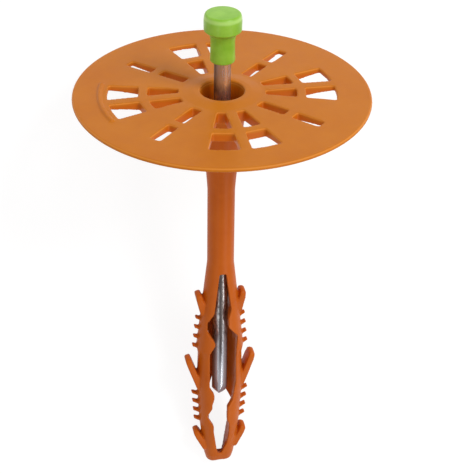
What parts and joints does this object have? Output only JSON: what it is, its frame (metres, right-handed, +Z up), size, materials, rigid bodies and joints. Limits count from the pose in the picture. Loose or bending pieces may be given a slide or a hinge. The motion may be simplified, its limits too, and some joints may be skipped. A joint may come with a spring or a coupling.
{
  "type": "insulation anchor",
  "caption": "Plate anchor for fixing insulation boards: moulded plate and tube with a split, toothed expansion zone, and a steel nail with a moulded head.",
  "frame": {"origin": "floor point under the middle of the anchor as it lies at rest on its plate's rim and the end of its legs", "axes": "+Z up, +Y along the anchor from the legs towards the head, seen from above, +X to the right across both legs"},
  "size_m": [0.06, 0.1113, 0.0577],
  "materials": {
    "sleeve_plastic": "orange polypropylene with a light sheen",
    "nail_steel": "bright zinc-plated drawn wire",
    "head_plastic": "green moulded plastic"
  },
  "bodies": {
    "sleeve_body": {"sleeve": "sleeve_plastic"},
    "nail_body": {"nail": "nail_steel", "nail_head": "head_plastic"}
  },
  "joints": [
    {"name": "nail_drive", "type": "slide", "parent": "sleeve_body", "child": "nail_body", "axis": [0, -0.9591, -0.2832], "range_m": [0, 0.0169]}
  ]
}
